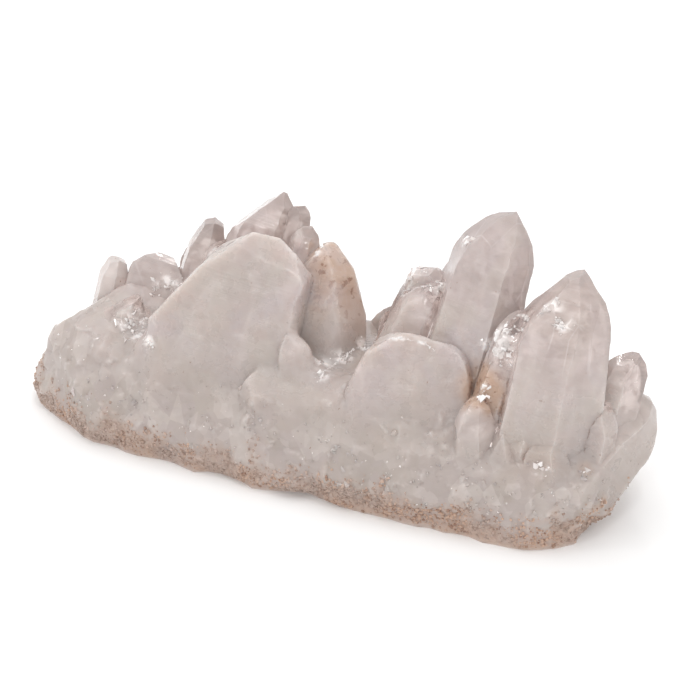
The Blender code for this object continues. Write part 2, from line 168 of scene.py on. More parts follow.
# Creases between two crystals that have filled up: a middle and a radius.
FILLS = [
    ((16.5, -21.4, 30.0), 8.0),
    ((17.9, -23.0, 22.0), 9.0),
    ((18.0, -19.5, 36.5), 5.5),
    ((-1.0, -14.0, 30.0), 6.0),
    ((-3.4, -9.8, 36.8), 4.0),
    ((-42.2, -20.8, 31.0), 5.5),
    ((-40.8, -23.2, 26.8), 6.5),
]

# Hollows that have built up level with what is round them: a middle, a radius and a height.
BUILT_UP = [
    ((11.0, -18.5, 25.0), 9.0, 3.2),
    ((13.0, -21.0, 18.0), 8.0, 2.4),
    ((12.0, -15.0, 30.0), 6.0, 1.5),
    ((-3.0, -14.0, 31.0), 6.0, 1.2),
    ((-45.2, -18.8, 27.0), 6.5, 2.0),
]

# Where iron has stained the quartz: a middle, a radius and how strongly.
STAINS = [
    ((-6.0, 4.0, 50.0), 8.0, 0.7),
    ((46.5, -12.0, 35.0), 9.5, 2.0),
    ((-80.0, -8.0, 8.0), 12.0, 1.0),
    ((72.5, -14.0, 21.0), 3.0, 0.6),
    ((-30.0, 6.0, 43.0), 5.0, 0.35),
    ((10.0, -2.0, 29.0), 7.0, 0.35),
    ((60.0, -18.0, 22.0), 9.0, 0.25),
]


# ---------------------------------------------------------------- numbers and noise


def smooth(low, high, value):
    """0 below low, 1 above high and a smooth rise between them."""
    share = np.clip((np.asarray(value, float) - low) / (high - low), 0.0, 1.0)
    return share * share * (3 - 2 * share)


def rim_gap(points, rim):
    """How far each of the points is from the broken line through the rim's points."""
    gap = np.full(len(points), 1e3)
    for start, end in zip(np.array(rim[:-1]), np.array(rim[1:])):
        way = end - start
        share = np.clip((points - start) @ way / (way @ way), 0, 1)
        gap = np.minimum(gap, np.linalg.norm(points - start - share[:, None] * way, axis=1))
    return gap


def cloud(points, size, depth=3, seed=0.0):
    """Soft noise around 0 at each of the points, with features about as wide as size."""
    shift = Vector((seed * 17.3, seed * -9.1, seed * 5.7))
    return np.array([noise.fractal(Vector(point) / size + shift, 0.8, 2.0, depth) for point in points])


def facets(points, size, seed=0.0):
    """Small flat faces that each lean their own way, as broken or crowded crystals have: about -0.5 to 0.5."""
    shift = Vector((seed * 7.9, seed * 3.3, seed * -11.1))
    heights = np.empty(len(points))
    for number, point in enumerate(points):
        spot = Vector(point) / size + shift
        centre = noise.voronoi(spot)[1][0]
        lean = noise.noise_vector(centre * 5.31 + Vector((0.5, 0.5, 0.5)))
        heights[number] = (spot - centre).dot(lean) * 1.6 + lean.length * 0.35
    return heights


# ---------------------------------------------------------------- meshes


def positions(data):
    """The mesh's vertices in millimetres."""
    flat = np.empty(len(data.vertices) * 3)
    data.vertices.foreach_get("co", flat)
    return flat.reshape(-1, 3) / MM


def place(data, points):
    data.vertices.foreach_set("co", (points * MM).ravel())
    data.update()


def normals(data):
    flat = np.empty(len(data.vertices) * 3)
    data.vertex_normals.foreach_get("vector", flat)
    return flat.reshape(-1, 3)


def note(data, name, values, domain="POINT"):
    """Keeps a number for each vertex or face, for the material to read."""
    layer = data.attributes.get(name) or data.attributes.new(name, "FLOAT", domain)
    layer.data.foreach_set("value", np.asarray(values, np.float32))


def new_piece(name, data, material):
    piece = bpy.data.objects.new(name, data)
    bpy.context.scene.collection.objects.link(piece)
    data.materials.clear()
    data.materials.append(material)
    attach(piece, BODY)
    return piece


def joined_shapes(name, shapes):
    """One mesh from many closed shapes: each is (points in millimetres, triangles, {attribute: number})."""
    points, faces, counts = [], [], []
    start = 0
    for shape_points, shape_faces, _ in shapes:
        points.append(shape_points)
        faces.append(shape_faces + start)
        counts.append(len(shape_points))
        start += len(shape_points)
    points = np.concatenate(points)
    faces = np.concatenate(faces)
    data = bpy.data.meshes.new(name)
    data.from_pydata((points * MM).tolist(), [], faces.tolist())
    for key in shapes[0][2]:
        note(data, key, np.repeat([shape[2][key] for shape in shapes], counts))
    data.update()
    return data


def turned(direction, spin):
    """The matrix that stands +Z along the direction, turned about it by spin."""
    return np.array(
        Vector(direction).to_track_quat("Z", "Y").to_matrix() @ Matrix.Rotation(spin, 3, "Z")
    )


PRISM_SIDES = 6


def quartz_point(chance, width, length, blunt=0.0):
    """A six-sided prism with a six-faced tip, its faces unequal as in a real one. It stands on Z = 0."""
    angles = np.arange(PRISM_SIDES) * math.tau / PRISM_SIDES + chance.uniform(-0.12, 0.12, PRISM_SIDES)
    radii = width / 2 * chance.uniform(0.8, 1.15, PRISM_SIDES)
    ring = np.stack([np.cos(angles) * radii, np.sin(angles) * radii], 1)
    shoulder = length - width * 0.62 * chance.uniform(0.75, 1.1, PRISM_SIDES)
    base = np.column_stack([ring * 1.05, np.zeros(PRISM_SIDES)])
    top = np.column_stack([ring * 0.95, np.maximum(shoulder, length * 0.25)])
    tip = np.append(chance.uniform(-0.14, 0.14, 2) * width, length)
    points = np.vstack([base, top, tip])
    if blunt:
        points[:, 2] = np.minimum(points[:, 2], length * (1 - blunt))
    faces = []
    for side in range(PRISM_SIDES):
        after = (side + 1) % PRISM_SIDES
        faces += [(side, after, PRISM_SIDES + after), (side, PRISM_SIDES + after, PRISM_SIDES + side)]
        faces.append((PRISM_SIDES + side, PRISM_SIDES + after, 2 * PRISM_SIDES))
    faces += [(0, side + 1, side) for side in range(1, PRISM_SIDES - 1)]
    return points, np.array(faces)


def shard(chance, width):
    """A flat splinter with an uneven outline and a leaning top. It stands on Z = 0 and is a third as thick as wide."""
    sides = int(chance.integers(3, 6))
    angles = (np.arange(sides) + chance.uniform(-0.25, 0.25, sides)) * math.tau / sides
    ring = np.stack([np.cos(angles), np.sin(angles) * chance.uniform(0.45, 0.9)], 1) * width / 2
    lean = chance.normal(0, 0.18, 2)
    low = np.column_stack([ring * 1.1, np.zeros(sides)])
    high = np.column_stack([ring * 0.8, width * 0.33 + ring @ lean])
    faces = []
    for side in range(sides):
        after = (side + 1) % sides
        faces += [(side, after, sides + after), (side, sides + after, sides + side)]
    for side in range(1, sides - 1):
        faces += [(0, side + 1, side), (sides, sides + side, sides + side + 1)]
    return np.vstack([low, high]), np.array(faces)


def grain(chance, size):
    """A crushed lump with twenty flat faces."""
    mesh = bmesh.new()
    bmesh.ops.create_icosphere(mesh, subdivisions=1, radius=size / 2)
    points = np.array([vert.co for vert in mesh.verts])
    faces = np.array([[vert.index for vert in face.verts] for face in mesh.faces])
    mesh.free()
    return points, faces


class Skin:
    """The worked skin of the cluster, to set small pieces on."""

    def __init__(self, data):
        self.points = positions(data)
        data.calc_loop_triangles()
        corners = np.empty(len(data.loop_triangles) * 3, np.int32)
        data.loop_triangles.foreach_get("vertices", corners)
        self.corners = corners.reshape(-1, 3)
        low, middle, high = (self.points[self.corners[:, side]] for side in range(3))
        across = np.cross(middle - low, high - low)
        self.areas = np.linalg.norm(across, axis=1) / 2
        self.facing = across / np.maximum(2 * self.areas, 1e-9)[:, None]
        self.middles = (low + middle + high) / 3

    def spots(self, chance, count, weights):
        """Random spots on the skin, as likely as their weights: (points, directions)."""
        share = self.areas * weights
        picked = chance.choice(len(share), count, p=share / share.sum())
        u, v = chance.random((2, count))
        over = u + v > 1
        u[over], v[over] = 1 - u[over], 1 - v[over]
        low, middle, high = (self.points[self.corners[picked, side]] for side in range(3))
        points = low + (middle - low) * u[:, None] + (high - low) * v[:, None]
        return points, self.facing[picked], picked


# ---------------------------------------------------------------- the cluster's regions


STREAK = 0.78
# How narrow the seam is where two crystals' finishes meet.
BLEND_SHARPNESS = 14.0


def crystal_frames():
    roots = np.array([entry[0] for entry in CRYSTALS.values()], float)
    tips = np.array([entry[1] for entry in CRYSTALS.values()], float)
    rest = np.array([entry[2:] for entry in CRYSTALS.values()], float)
    return roots, tips, rest


def regions(points):
    """For each point: which crystal it is on, how far up it from 0 to 1, the length up its axis, how surely, and the
    point again with each crystal pushed together along its axis, so that noise read there runs in streaks up it."""
    roots, tips, rest = crystal_frames()
    axes = tips - roots
    lengths = np.linalg.norm(axes, axis=1)
    axes /= lengths[:, None]
    best = np.full(len(points), 9.0)
    which = np.zeros(len(points), int)
    along = np.zeros(len(points))
    drawn = points.copy()
    scores = np.empty((len(roots), len(points)))
    for number, (root, axis, length, (width, _, _)) in enumerate(zip(roots, axes, lengths, rest)):
        offset = points - root
        up = offset @ axis
        out = np.linalg.norm(offset - up[:, None] * axis, axis=1) / (width / 2)
        beyond = np.clip(-up / 3, 0, 9) + np.clip((up - length - 0.3) / 1.5, 0, 9)
        # Near its tip a crystal is narrow, so a point there has to be near its axis.
        slim = np.clip(1.0 - (length - up) / (width * 0.62), 0, 1)
        score = out * (1 + 1.2 * slim) + beyond
        scores[number] = score
        closer = score < best
        best[closer] = score[closer]
        which[closer] = number
        along[closer] = up[closer]
        drawn[closer] = (points - up[:, None] * axis * STREAK)[closer]
    share = np.clip(along / lengths[which], 0, 1)
    sure = 1 - smooth(1.3, 1.65, best)
    drawn = points + (drawn - points) * sure[:, None]
    blend = np.exp((best - scores) * BLEND_SHARPNESS)
    blend /= blend.sum(0)
    return which, share, along, sure, drawn, blend


def fine_copy(step_octaves, fill):
    """The cluster's solid with an even fine mesh that keeps its sharp edges."""
    mesh = bmesh.new()
    mesh.from_mesh(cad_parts[NODE].data)
    bmesh.ops.remove_doubles(mesh, verts=mesh.verts, dist=1e-6)
    data = bpy.data.meshes.new("fine_copy")
    mesh.to_mesh(data)
    mesh.free()
    holder = bpy.data.objects.new("fine_copy", data)
    bpy.context.scene.collection.objects.link(holder)
    remesh = holder.modifiers.new("even mesh", "REMESH")
    remesh.mode = "SHARP"
    remesh.octree_depth = step_octaves
    remesh.scale = fill
    remesh.sharpness = 1.0
    graph = bpy.context.evaluated_depsgraph_get()
    fine = bpy.data.meshes.new_from_object(holder.evaluated_get(graph))
    bpy.data.objects.remove(holder)
    return fine


def rounded(data, points, share, steps):
    """Moves each vertex towards its neighbours' middle by its share, again and again, which rounds off edges."""
    ends = np.empty(len(data.edges) * 2, np.int32)
    data.edges.foreach_get("vertices", ends)
    one, other = ends[::2], ends[1::2]
    near = np.bincount(one, minlength=len(points)) + np.bincount(other, minlength=len(points))
    for _ in range(steps):
        total = np.stack([
            np.bincount(one, points[other, axis], len(points)) + np.bincount(other, points[one, axis], len(points))
            for axis in range(3)
        ], 1)
        points = points + (total / np.maximum(near, 1)[:, None] - points) * (0.6 * share)[:, None]
    return points


def openness(data, points, facing, reach, rays):
    """How open each vertex is to the outside, from 0 in a crevice to 1 on a free face."""
    tree = BVHTree.FromPolygons((points).tolist(), [tuple(face.vertices) for face in data.polygons])
    chance = np.random.default_rng(5)
    spread = chance.normal(size=(rays, 3))
    spread /= np.linalg.norm(spread, axis=1)[:, None]
    free = np.zeros(len(points))
    for number, (point, normal) in enumerate(zip(points, facing)):
        start = Vector(point + normal * 0.15)
        clear = 0.0
        for ray in spread:
            way = Vector(ray + normal * 1.05)
            hit = tree.ray_cast(start, way.normalized(), reach)
            clear += 1.0 if hit[0] is None else hit[3] / reach
        free[number] = clear / rays
    return free


def work_skin(data, look):
    """Pushes the skin into growth steps, chips and lumps, and notes what its material needs."""
    points = positions(data)
    facing = normals(data)
    which, share, along, sure, drawn, blend = regions(points)
    kinds = crystal_frames()[2]
    clear, brown = kinds[:, 1] @ blend, kinds[:, 2] @ blend
    milky = np.isin(which, [list(CRYSTALS).index(name) for name in ("milky_left", "milky_dome", "milky_middle")])
    height = points[:, 2]
    floor = smooth(0.3, 2.5, height)
    worn = np.array([WORN.get(name, 0.0) for name in CRYSTALS])[which] * sure
    low_down = (1 - sure) + sure * smooth(24, 14, height)
    worn = np.maximum(worn, low_down * 0.15)
    for centre, radius in FILLS:
        worn = np.maximum(worn, smooth(radius, radius * 0.4, np.linalg.norm(points - centre, axis=1)))
    for centre, radius, level in BUILT_UP:
        gap = np.linalg.norm(points - centre, axis=1)
        points = points + facing * (level * smooth(radius, 0.0, gap))[:, None]
    points = rounded(data, points, worn * floor, ROUNDING_STEPS)
    place(data, points)
    facing = normals(data)
    # Low down everything is crowded small crystals, and the two milky masses grow out of them.
    sugary = (1 - sure) * smooth(40, 20, height)
    sugary = np.maximum(sugary, smooth(27, 15, height) * 0.85)
    sugary *= 1 - 0.85 * smooth(73, 76, points[:, 0] + 0.25 * points[:, 1] + 3 * cloud(points, 9.0, 2, 18))
    crust = smooth(look.crust_height / MM * 1.6, look.crust_height / MM * 0.4,
                   height + 5.0 * cloud(points, 6.0, 3, 3))
    push = look.lump_height / MM * cloud(points, 12.0, 3, 1) * (0.35 + sugary)
    push += look.facet_height / MM * facets(points, 5.2, 2) * sugary * 1.5
    push += look.facet_height / MM * facets(points, 2.1, 4) * np.maximum(sugary * 0.15, crust * 0.7)
    push += 0.35 * cloud(points, 1.6, 2, 6) * crust
    push += 0.16 * cloud(points, 3.2, 3, 8) * milky * sure
    # Patches of broken faces, painted white: partly their own white and partly painted glints.
    frost = np.zeros(len(points))
    for centre, radius, _ in SPARKLES:
        gap = np.linalg.norm(points - centre, axis=1)
        frost = np.maximum(frost, smooth(radius * 1.15, radius * 0.35, gap))
    frost *= smooth(-0.2, 0.05, cloud(points, 4.0, 2, 12))
    # Thin rims along edges, painted white in the skin's colour as a highlight.
    rim = np.zeros(len(points))
    for line in RIMS:
        rim = np.maximum(rim, smooth(RIM_WIDTH * 1.7, RIM_WIDTH * 0.6, rim_gap(points, line)))
    rim *= smooth(-0.12, 0.1, cloud(points, 2.2, 2, 16))
    push += 0.5 * facets(points, 3.0, 7) * frost + 0.25 * facets(points, 1.3, 9) * np.maximum(frost, rim)
    note(data, "rim", rim)
    # Growth steps: narrow ledges that run across each crystal's sides.
    ledges = np.array([noise.noise(Vector((up / 1.9, number * 3.7, 0.3))) for up, number in zip(along, which)])
    push += look.step_height / MM * np.round(ledges * 4) / 4 * sure * (1 - milky) * smooth(0.0, 0.2, share)
    points = points + facing * (push * floor)[:, None]
    place(data, points)
    facing = normals(data)
    soft = rounded(data, points, np.ones(len(points)), 4)
    bulge = ((points - soft) * facing).sum(1)
    # Ridges are painted lighter, partly chipped wear and partly a painted highlight; grooves are painted darker as
    # shade.
    note(data, "ridge_wear_and_painted_highlight", smooth(0.04, 0.22, bulge) * floor)
    note(data, "groove_painted_shade", smooth(0.04, 0.25, -bulge))
    free = openness(data, points, facing, 9.0, 12)
    stain = brown * sure * smooth(0.35, 0.85, share)
    for centre, radius, strength in STAINS:
        gap = np.linalg.norm(points - centre, axis=1)
        stain = np.maximum(stain, strength * smooth(radius, radius * 0.3, gap))
    note(data, "stain", stain)
    pale = np.zeros(len(points))
    for centre, radius, strength in PALES:
        gap = np.linalg.norm(points - centre, axis=1)
        pale = np.maximum(pale, strength * smooth(radius, radius * 0.3, gap))
    note(data, "pale", pale)
    note(data, "clear", clear * sure * smooth(0.15, 0.7, share) * smooth(14, 30, height) * (1 - 0.6 * stain))
    note(data, "low", smooth(42, 16, height))
    note(data, "sugary", sugary)
    note(data, "frost", frost)
    note(data, "crust", crust)
    note(data, "open", free)
    note(data, "along", along)
    streaks = data.attributes.new("drawn", "FLOAT_VECTOR", "POINT")
    streaks.data.foreach_set("vector", drawn.astype(np.float32).ravel())
    note(data, "crystal", which * 1.0)
    data.set_sharp_from_angle(angle=math.radians(28))
    return free


# ---------------------------------------------------------------- materials


class Shader:
    """The nodes of one material."""

    def __init__(self, name):
        self.material = bpy.data.materials.new(name)
        self.material.use_nodes = True
        self.nodes = self.material.node_tree.nodes
        self.links = self.material.node_tree.links
        self.surface = self.nodes["Principled BSDF"]
        place_node = self.nodes.new("ShaderNodeTexCoord")
        self.spot = self.add("ShaderNodeVectorMath", {0: place_node.outputs["Object"], 3: 1 / MM}, operation="SCALE")

    def add(self, kind, values=None, **settings):
        """Adds a node, sets or links its inputs, and returns its first output."""
        made = self.nodes.new(kind)
        for key, value in settings.items():
            setattr(made, key, value)
        for key, value in (values or {}).items():
            self.set(made.inputs[key], value)
        return made.outputs[0]

    def set(self, socket, value):
        if isinstance(value, bpy.types.NodeSocket):
            self.links.new(value, socket)
        elif socket.type == "RGBA":
            socket.default_value = tuple(value)[:3] + (1.0,)
        else:
            socket.default_value = value

    def plain(self, **values):
        """Sets the surface's own inputs by name, with _ for a space."""
        for key, value in values.items():
            self.set(self.surface.inputs[key.replace("_", " ")], value)

    def math(self, operation, first, second=0.0, clamp=False):
        return self.add("ShaderNodeMath", {0: first, 1: second}, operation=operation, use_clamp=clamp)

    def note(self, name):
        """A number kept on the mesh."""
        made = self.nodes.new("ShaderNodeAttribute")
        made.attribute_name = name
        return made.outputs["Fac"]

    def cloud(self, size, detail=4.0, rough=0.55, warp=0.0, shift=0.0, spot=None):
        """Noise from 0 to 1 with features about as wide as size, in millimetres."""
        spot = spot or self.spot
        if shift:
            spot = self.add("ShaderNodeVectorMath", {0: spot, 1: (shift, -shift, shift * 0.5)}, operation="ADD")
        return self.add(
            "ShaderNodeTexNoise",
            {"Vector": spot, "Scale": 1 / size, "Detail": detail, "Roughness": rough, "Distortion": warp},
        )

    def cells(self, size, warp=0.0, spot=None):
        """Angular patches about as wide as size: a number for each, from 0 to 1, and how far in from its edge."""
        spot = spot or self.spot
        if warp:
            bend = self.add("ShaderNodeTexNoise", {"Vector": spot, "Scale": 1.4 / size, "Detail": 2.0})
            bend = self.add("ShaderNodeVectorMath", {0: bend.node.outputs["Color"], 3: warp}, operation="SCALE")
            spot = self.add("ShaderNodeVectorMath", {0: spot, 1: bend}, operation="ADD")
        whole = self.add("ShaderNodeTexVoronoi", {"Vector": spot, "Scale": 1 / size})
        parts = self.add("ShaderNodeSeparateColor", {0: whole.node.outputs["Color"]})
        edge = self.add("ShaderNodeTexVoronoi", {"Vector": spot, "Scale": 1 / size}, feature="DISTANCE_TO_EDGE")
        return parts, edge

    def rise(self, value, low, high, to_low=0.0, to_high=1.0):
        """Maps low..high smoothly to to_low..to_high."""
        return self.add(
            "ShaderNodeMapRange",
            {"Value": value, "From Min": low, "From Max": high, "To Min": to_low, "To Max": to_high},
            interpolation_type="SMOOTHSTEP",
        )

    def mix(self, share, low, high, blend="MIX"):
        made = self.nodes.new("ShaderNodeMix")
        made.data_type = "RGBA"
        made.blend_type = blend
        self.set(made.inputs[0], share)
        self.set(made.inputs[6], low)
        self.set(made.inputs[7], high)
        return made.outputs[2]

    def bump(self, height, distance, strength=1.0, under=None):
        values = {"Height": height, "Distance": distance * MM, "Strength": strength}
        if under:
            values["Normal"] = under
        return self.add("ShaderNodeBump", values)


# How fast clear quartz takes light up, per metre.
DEPTH_DENSITY = 14.0


def quartz_colour(shader, look):
    """Milk with lavender, rose and cream drifting through it, before any stain."""
    drift = shader.rise(shader.cloud(17, 3, 0.5, 0.6), 0.38, 0.62)
    warm = shader.rise(shader.cloud(9, 5, 0.6, 0.9, 31), 0.42, 0.68)
    tone = shader.mix(drift, look.lavender, look.milk)
    tone = shader.mix(shader.math("MULTIPLY", warm, 0.6), tone, look.rose)
    wisp = shader.rise(shader.cloud(7.5, 5, 0.58, 1.6, 57), 0.55, 0.72)
    return shader.mix(shader.math("MULTIPLY", wisp, 0.3), tone, look.veil_and_painted_light)


def skin_material(look):
    shader = Shader("milky_quartz")
    sugary, crust, free = shader.note("sugary"), shader.note("crust"), shader.note("open")
    stain, clear = shader.note("stain"), shader.note("clear")
    tone = quartz_colour(shader, look)
    # Clouds and greyer depths that run up inside each crystal.
    drawn = shader.nodes.new("ShaderNodeAttribute")
    drawn.attribute_name = "drawn"
    drawn = drawn.outputs["Vector"]
    light = shader.rise(shader.cloud(6.5, 4, 0.55, 0.8, 5, drawn), 0.50, 0.66)
    dark = shader.rise(shader.cloud(8.0, 4, 0.55, 0.6, 45, drawn), 0.48, 0.66)
    tone = shader.mix(shader.math("MULTIPLY", light, 0.28), tone, look.veil_and_painted_light)
    tone = shader.mix(shader.math("MULTIPLY", dark, 0.35), tone, look.shadow)
    # Painted light and shade: angular patches in the clearer crystals, lighter or greyer as if flat inner faces caught
    # the light their own way, with thin pale seams between some of them.
    shade, seam = shader.cells(7.5, 0.6, drawn)
    inner = shader.rise(clear, 0.1, 0.5)
    tone = shader.mix(shader.math("MULTIPLY", shader.rise(shade, 0.65, 0.7), shader.math("MULTIPLY", inner, 0.35)), tone, look.veil_and_painted_light)
    tone = shader.mix(shader.math("MULTIPLY", shader.rise(shade, 0.35, 0.3), shader.math("MULTIPLY", inner, 0.35)), tone, look.shadow)
    some = shader.rise(shader.cloud(9, 2, 0.5, 0.0, 83), 0.50, 0.60)
    seam = shader.math("MULTIPLY", shader.rise(seam, 0.03, 0.0), shader.math("MULTIPLY", inner, some))
    tone = shader.mix(shader.math("MULTIPLY", seam, 0.35), tone, look.snow_and_painted_glint)
    tone = shader.mix(shader.rise(clear, 0.05, 0.7, 0.0, 0.4), tone, look.ice)
    # Sugary ground: cream and tan patches a few millimetres wide.
    patch = shader.rise(shader.cloud(3.4, 4, 0.6, 0.4, 12), 0.36, 0.66)
    ground = shader.mix(patch, look.cream, look.tan)
    tone = shader.mix(shader.math("MULTIPLY", sugary, 0.75), tone, ground)
    # Darker and warmer towards the bottom.
    tone = shader.mix(shader.math("MULTIPLY", shader.note("low"), 0.7), tone, look.cream)
    tone = shader.mix(shader.note("pale"), tone, look.veil_and_painted_light)
    # The stained crystal, orange brown with darker specks near its top.
    specks = shader.rise(shader.cloud(2.1, 3, 0.6, 0.3, 77), 0.57, 0.62)
    rusty = shader.rise(shader.cloud(6, 4, 0.6, 0.5, 91), 0.35, 0.6, 0.5, 1.0)
    stained = shader.mix(shader.math("MULTIPLY", rusty, 0.45), look.amber, look.tan)
    stained = shader.mix(shader.math("MULTIPLY", specks, 0.9), stained, look.rust)
    tone = shader.mix(shader.math("MULTIPLY", shader.math("MULTIPLY", stain, rusty), 0.95), tone, stained)
    # Broad slanting faces low down, then crushed-ice cells, each partly its own tone and partly painted light and
    # shade, as if each face caught the light its own way.
    slanted = shader.add("ShaderNodeVectorMath", {0: shader.spot, 1: (1.0, 1.0, 0.55)}, operation="MULTIPLY")
    face, _ = shader.cells(6.0, 0.5, slanted)
    tone = shader.mix(shader.math("MULTIPLY", shader.rise(face, 0.65, 0.75), shader.math("MULTIPLY", sugary, 0.3)), tone, look.veil_and_painted_light)
    tone = shader.mix(shader.math("MULTIPLY", shader.rise(face, 0.4, 0.3), shader.math("MULTIPLY", sugary, 0.5)), tone, look.shadow)
    light, _ = shader.cells(2.8, 1.0)
    pale = shader.math("MULTIPLY", shader.rise(light, 0.6, 1.0), shader.math("MULTIPLY", sugary, 0.25))
    deep = shader.math("MULTIPLY", shader.rise(light, 0.4, 0.0), shader.math("MULTIPLY", sugary, 0.6))
    tone = shader.mix(pale, tone, look.veil_and_painted_light)
    tone = shader.mix(deep, tone, look.shadow)
    # Chipped white edges with a painted highlight along the ridges, and painted shade in the grooves.
    frost = shader.note("frost")
    patchy = shader.rise(shader.cloud(4, 3, 0.6, 0.3, 19), 0.38, 0.6, 0.1, 0.7)
    rough = shader.rise(shader.math("MAXIMUM", sugary, frost), 0.0, 0.6, 0.45, 0.6)
    patchy = shader.math("MULTIPLY", patchy, rough)
    tone = shader.mix(shader.math("MULTIPLY", shader.note("ridge_wear_and_painted_highlight"), patchy), tone, look.veil_and_painted_light)
    tone = shader.mix(shader.math("MULTIPLY", shader.note("groove_painted_shade"), 0.15), tone, look.shadow)
    # White broken faces, partly their own white and partly painted glints, a painted highlight along the rims, and
    # painted light in the crevices where crystals meet, standing in for light passing through the quartz.
    chip, chip_edge = shader.cells(2.0, 0.3)
    chip = shader.math("MAXIMUM", shader.rise(chip, 0.35, 0.5, 0.15, 1.0), shader.rise(chip_edge, 0.1, 0.0))
    tone = shader.mix(shader.math("MULTIPLY", shader.math("MULTIPLY", frost, chip), 0.85), tone, look.snow_and_painted_glint)
    tone = shader.mix(shader.math("MULTIPLY", shader.note("rim"), 0.85), tone, look.snow_and_painted_glint)
    painted_crevice_light = shader.rise(free, 0.6, 0.15)
    painted_crevice_light = shader.math("MULTIPLY", painted_crevice_light, shader.rise(sugary, 0.1, 0.7, 0.5, 0.0))
    tone = shader.mix(painted_crevice_light, tone, look.veil_and_painted_light)
    # Rare dark specks of something else that the quartz has grown round.
    tone = shader.mix(shader.rise(shader.cloud(1.2, 2, 0.5, 0.0, 133), 0.745, 0.77, 0.0, 0.6), tone, look.rust)
    # The crust.
    speckle = shader.rise(shader.cloud(1.3, 3, 0.65, 0.3, 41), 0.40, 0.64)
    iron = shader.rise(shader.cloud(14, 3, 0.5, 0.4, 64), 0.40, 0.62, 0.4, 1.0)
    crusty = shader.mix(shader.math("MULTIPLY", iron, 0.75), look.rose, look.amber)
    crusty = shader.mix(shader.math("MULTIPLY", speckle, 0.22), crusty, look.rust)
    tone = shader.mix(shader.math("MULTIPLY", crust, 0.75), tone, crusty)
    # Light wanders inside the milky parts, and goes straight through the clear ones.
    wander = shader.math("MULTIPLY_ADD", clear, -1.6)
    wander.node.use_clamp = True
    wander.node.inputs[2].default_value = 0.7
    wander = shader.math("MULTIPLY", wander, shader.rise(sugary, 0.2, 0.8, 1.0, 0.5))
    shader.plain(Base_Color=tone, IOR=1.544, Subsurface_Weight=wander, Subsurface_Radius=(1.0, 0.82, 0.75))
    shader.plain(Subsurface_Scale=0.009)
    smear = shader.cloud(4, 4, 0.6, 0.3, 23)
    gloss = shader.rise(smear, 0.3, 0.7, 0.2, 0.42)
    gloss = shader.math("MULTIPLY", gloss, shader.rise(clear, 0.05, 0.35, 1.0, 0.3))
    gloss = shader.math("ADD", gloss, shader.math("MULTIPLY", sugary, 0.1))
    gloss = shader.math("ADD", gloss, shader.math("MULTIPLY", crust, 0.3), clamp=True)
    shader.plain(Roughness=gloss)
    open_glass = shader.math("SUBTRACT", 1.0, shader.math("MULTIPLY", frost, 0.8), clamp=True)
    through = shader.math("MULTIPLY", shader.rise(clear, 0.05, 0.7, 0.02, 0.85), open_glass)
    shader.plain(Transmission_Weight=through)
    absorb = shader.add("ShaderNodeVolumeAbsorption", {"Color": look.depth, "Density": DEPTH_DENSITY})
    shader.links.new(absorb, shader.nodes["Material Output"].inputs["Volume"])
    # Fine striations across the prism faces, then grain.
    along = shader.note("along")
    lines = shader.add("ShaderNodeCombineXYZ", {0: along, 1: shader.note("crystal"), 2: 0.0})
    lines = shader.add("ShaderNodeTexNoise", {"Vector": lines, "Scale": 2.4, "Detail": 3.0, "Roughness": 0.6})
    quiet = shader.math("SUBTRACT", 1.0, sugary, clamp=True)
    bumps = shader.bump(shader.math("MULTIPLY", lines, quiet), 0.10, 0.5)
    sugar = shader.cloud(0.8, 3, 0.6, 0.0, 88)
    bumps = shader.bump(shader.math("MULTIPLY", sugar, sugary), 0.3, 0.15, bumps)
    pits = shader.cloud(2.6, 5, 0.62, 0.6, 15)
    bumps = shader.bump(pits, 0.25, 0.25, bumps)
    shader.plain(Normal=bumps)
    return shader.material


def spark_material(look):
    shader = Shader("splinters_and_painted_glints")
    # Partly the white of broken quartz and partly painted glint.
    tone = shader.mix(shader.rise(shader.note("shade"), 0.3, 0.9), look.veil_and_painted_light, look.snow_and_painted_glint)
    shader.plain(Base_Color=tone, IOR=1.544, Transmission_Weight=0.0, Subsurface_Weight=0.3)
    shader.plain(Subsurface_Radius=(1.0, 0.85, 0.8), Subsurface_Scale=0.002)
    shader.plain(Roughness=shader.rise(shader.cloud(0.9, 3, 0.6), 0.3, 0.7, 0.03, 0.12))
    shader.plain(Normal=shader.bump(shader.cloud(0.5, 3, 0.6, 0, 3), 0.05, 0.4))
    return shader.material


def sugar_material(look):
    shader = Shader("sugar_quartz")
    tone = quartz_colour(shader, look)
    tone = shader.mix(shader.math("MULTIPLY", shader.note("shade"), 0.4), tone, look.cream)
    shade = shader.rise(shader.note("tan"), 0.0, 1.0)
    tone = shader.mix(shader.math("MULTIPLY", shade, 0.25), tone, look.tan)
    shader.plain(Base_Color=tone, IOR=1.544, Transmission_Weight=0.0, Subsurface_Weight=0.5)
    shader.plain(Subsurface_Radius=(1.0, 0.85, 0.8), Subsurface_Scale=0.003)
    shader.plain(Roughness=shader.rise(shader.cloud(1.2, 3, 0.6), 0.3, 0.7, 0.12, 0.35))
    shader.plain(Normal=shader.bump(shader.cloud(0.6, 3, 0.6, 0, 3), 0.1, 0.4))
    return shader.material


